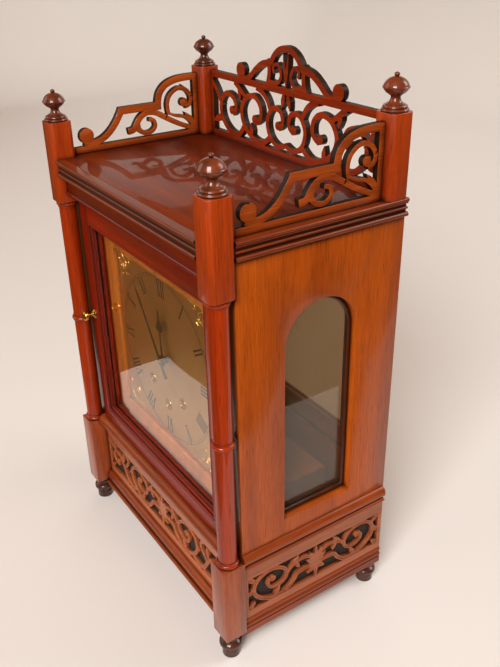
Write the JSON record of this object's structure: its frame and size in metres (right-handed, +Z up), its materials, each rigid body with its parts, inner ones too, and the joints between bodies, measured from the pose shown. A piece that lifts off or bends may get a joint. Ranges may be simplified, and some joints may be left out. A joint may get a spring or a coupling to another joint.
{
  "type": "musical bracket clock",
  "caption": "Free-standing musical bracket clock: wooden case with corner columns, pierced galleries and plinth frets, glazed doors, a silvered dial and a striking, tune-playing movement.",
  "frame": {"origin": "under the middle of the case, on the surface that the feet stand on", "axes": "+X to the right seen from the front, -Y out of the front, +Z up"},
  "size_m": [0.38, 0.235, 0.642],
  "materials": {
    "mahogany": "French polished, deep red-brown",
    "mahogany_dark": "French polished, dark mouldings",
    "mahogany_side": "French polished, orange-brown straight grain",
    "mahogany_fret": "sawn fretwork, satin polish",
    "turned_dark": "turned and stained dark, polished",
    "secondary_wood": "plain planed board, waxed",
    "silk": "dark brown fret cloth",
    "glass": "clear window glass",
    "silvered_dial": "silvered brass, brushed in circles",
    "wax_black": "black wax filling of the engraving",
    "blued_steel": "blued and polished",
    "brass": "lacquered brass",
    "steel": "polished steel",
    "bell_metal": "cast and turned bell metal"
  },
  "bodies": {
    "case": {"bottom_board": "secondary_wood", "plinth_frame": "secondary_wood", "plinth_mouldings": "mahogany_dark", "fret_front": "mahogany_fret", "fret_left": "mahogany_fret", "fret_right": "mahogany_fret", "fret_backing": "silk", "pedestals": "mahogany", "feet": "turned_dark", "columns": "mahogany", "corner_posts": "mahogany_side", "finials": "turned_dark", "side_panel_left": "mahogany_side", "side_panel_right": "mahogany_side", "side_glass": "glass", "window_beads": "mahogany_dark", "front_frame": "mahogany", "back_frame": "secondary_wood", "top_board": "mahogany", "cornice": "mahogany_dark", "gallery_left": "mahogany_side", "gallery_right": "mahogany_side", "gallery_back": "mahogany", "dial_mask": "mahogany_side", "dial_plate": "silvered_dial", "dial_engraving": "wax_black", "door_pivots": "brass", "seatboard": "secondary_wood", "front_plate": "brass", "back_plate": "brass", "suspension": "brass", "bells": "bell_metal", "bell_brackets": "brass"},
    "front_door": {"door_frame": "mahogany", "door_glass": "glass", "door_knob": "brass"},
    "rear_door": {"back_door": "secondary_wood", "back_door_glass": "glass"},
    "centre": {"centre_wheel": "brass", "minute_hand": "blued_steel"},
    "hour": {"hour_hand": "blued_steel"},
    "motion": {"minute_wheel": "brass"},
    "second": {"second_wheel": "brass"},
    "going": {"going_barrel": "brass"},
    "third": {"third_wheel": "brass"},
    "escape": {"escape_wheel": "brass"},
    "pallets": {"anchor": "steel"},
    "pendulum_body": {"pendulum": "brass"},
    "strike": {"strike_barrel": "brass"},
    "pins": {"pin_wheel": "brass"},
    "strike_fan": {"strike_fly": "brass"},
    "strike_striker": {"strike_hammer": "steel"},
    "music": {"music_barrel": "brass"},
    "tune_wheel": {"music_wheel": "brass"},
    "cylinder": {"music_cylinder": "brass"},
    "music_fan": {"music_fly": "brass"},
    "striker_1": {"hammer_1": "steel"},
    "striker_2": {"hammer_2": "steel"},
    "striker_3": {"hammer_3": "steel"},
    "striker_4": {"hammer_4": "steel"}
  },
  "joints": [
    {"name": "front_door_hinge", "type": "hinge", "parent": "case", "child": "front_door", "pos_m": [0.1515, -0.0925, 0.3], "axis": [0, 0, 1], "range_deg": [0, 95]},
    {"name": "rear_door_hinge", "type": "hinge", "parent": "case", "child": "rear_door", "pos_m": [-0.1379, 0.1115, 0.32], "axis": [0, 0, 1], "range_deg": [0, 90]},
    {"name": "hands_turn", "type": "hinge", "parent": "case", "child": "centre", "pos_m": [0, -0.0575, 0.305], "axis": [0, 1, 0], "continuous": true},
    {"name": "hour_turn", "type": "hinge", "parent": "case", "child": "hour", "pos_m": [0, -0.0575, 0.305], "axis": [0, 1, 0], "continuous": true},
    {"name": "motion_turn", "type": "hinge", "parent": "case", "child": "motion", "pos_m": [0.012, -0.0575, 0.305], "axis": [0, 1, 0], "continuous": true},
    {"name": "second_turn", "type": "hinge", "parent": "case", "child": "second", "pos_m": [0, -0.0545, 0.2774], "axis": [0, 1, 0], "continuous": true},
    {"name": "going_turn", "type": "hinge", "parent": "case", "child": "going", "pos_m": [0, -0.0545, 0.2422], "axis": [0, 1, 0], "continuous": true},
    {"name": "third_turn", "type": "hinge", "parent": "case", "child": "third", "pos_m": [0.01193, -0.0545, 0.32204], "axis": [0, 1, 0], "continuous": true},
    {"name": "escape_turn", "type": "hinge", "parent": "case", "child": "escape", "pos_m": [0, -0.0545, 0.33498], "axis": [0, 1, 0], "continuous": true},
    {"name": "pendulum_swing", "type": "hinge", "parent": "case", "child": "pendulum_body", "pos_m": [0, 0.0525, 0.35248], "axis": [0, 1, 0], "range_deg": [-2.5, 2.5]},
    {"name": "pallet_swing", "type": "hinge", "parent": "case", "child": "pallets", "pos_m": [0, 0.0355, 0.35248], "axis": [0, 1, 0], "range_deg": [-2.5, 2.5]},
    {"name": "strike_turn", "type": "hinge", "parent": "case", "child": "strike", "pos_m": [-0.037, -0.0545, 0.262], "axis": [0, 1, 0], "continuous": true},
    {"name": "pin_wheel_turn", "type": "hinge", "parent": "case", "child": "pins", "pos_m": [-0.04821, -0.0545, 0.29197], "axis": [0, 1, 0], "continuous": true},
    {"name": "strike_fly_turn", "type": "hinge", "parent": "case", "child": "strike_fan", "pos_m": [-0.04284, -0.0545, 0.31351], "axis": [0, 1, 0], "continuous": true},
    {"name": "strike_hammer_lift", "type": "hinge", "parent": "case", "child": "strike_striker", "pos_m": [-0.068, -0.0545, 0.323], "axis": [0, 1, 0], "range_deg": [0, 8], "stiffness_Nm_per_rad": 0.01, "springref_deg": -8.59},
    {"name": "music_turn", "type": "hinge", "parent": "case", "child": "music", "pos_m": [0.037, -0.0545, 0.262], "axis": [0, 1, 0], "continuous": true},
    {"name": "tune_wheel_turn", "type": "hinge", "parent": "case", "child": "tune_wheel", "pos_m": [0.04821, -0.0545, 0.29197], "axis": [0, 1, 0], "continuous": true},
    {"name": "cylinder_turn", "type": "hinge", "parent": "case", "child": "cylinder", "pos_m": [0.05235, -0.0545, 0.33136], "axis": [0, 1, 0], "continuous": true},
    {"name": "music_fly_turn", "type": "hinge", "parent": "case", "child": "music_fan", "pos_m": [0.03356, -0.0545, 0.3463], "axis": [0, 1, 0], "continuous": true},
    {"name": "hammer_1_lift", "type": "hinge", "parent": "case", "child": "striker_1", "pos_m": [0.044, -0.025, 0.371], "axis": [0, 1, 0], "range_deg": [0, 8], "stiffness_Nm_per_rad": 0.006, "springref_deg": -6.88},
    {"name": "hammer_2_lift", "type": "hinge", "parent": "case", "child": "striker_2", "pos_m": [0.044, -0.013, 0.371], "axis": [0, 1, 0], "range_deg": [0, 8], "stiffness_Nm_per_rad": 0.006, "springref_deg": -6.88},
    {"name": "hammer_3_lift", "type": "hinge", "parent": "case", "child": "striker_3", "pos_m": [0.044, -0.001, 0.371], "axis": [0, 1, 0], "range_deg": [0, 8], "stiffness_Nm_per_rad": 0.006, "springref_deg": -6.88},
    {"name": "hammer_4_lift", "type": "hinge", "parent": "case", "child": "striker_4", "pos_m": [0.044, 0.011, 0.371], "axis": [0, 1, 0], "range_deg": [0, 8], "stiffness_Nm_per_rad": 0.006, "springref_deg": -6.88}
  ],
  "couplings": [
    {"joint": "hour_turn", "follows": "hands_turn", "ratio": 0.083333},
    {"joint": "motion_turn", "follows": "hands_turn", "ratio": -0.33333},
    {"joint": "second_turn", "follows": "hands_turn", "ratio": -0.15},
    {"joint": "going_turn", "follows": "hands_turn", "ratio": 0.015},
    {"joint": "third_turn", "follows": "hands_turn", "ratio": -12},
    {"joint": "escape_turn", "follows": "hands_turn", "ratio": 120},
    {"joint": "pallet_swing", "follows": "pendulum_swing", "ratio": 1},
    {"joint": "pin_wheel_turn", "follows": "strike_turn", "ratio": -9},
    {"joint": "strike_fly_turn", "follows": "strike_turn", "ratio": 74.25},
    {"joint": "tune_wheel_turn", "follows": "music_turn", "ratio": -9},
    {"joint": "cylinder_turn", "follows": "music_turn", "ratio": 7.5},
    {"joint": "music_fly_turn", "follows": "music_turn", "ratio": -67.5}
  ]
}
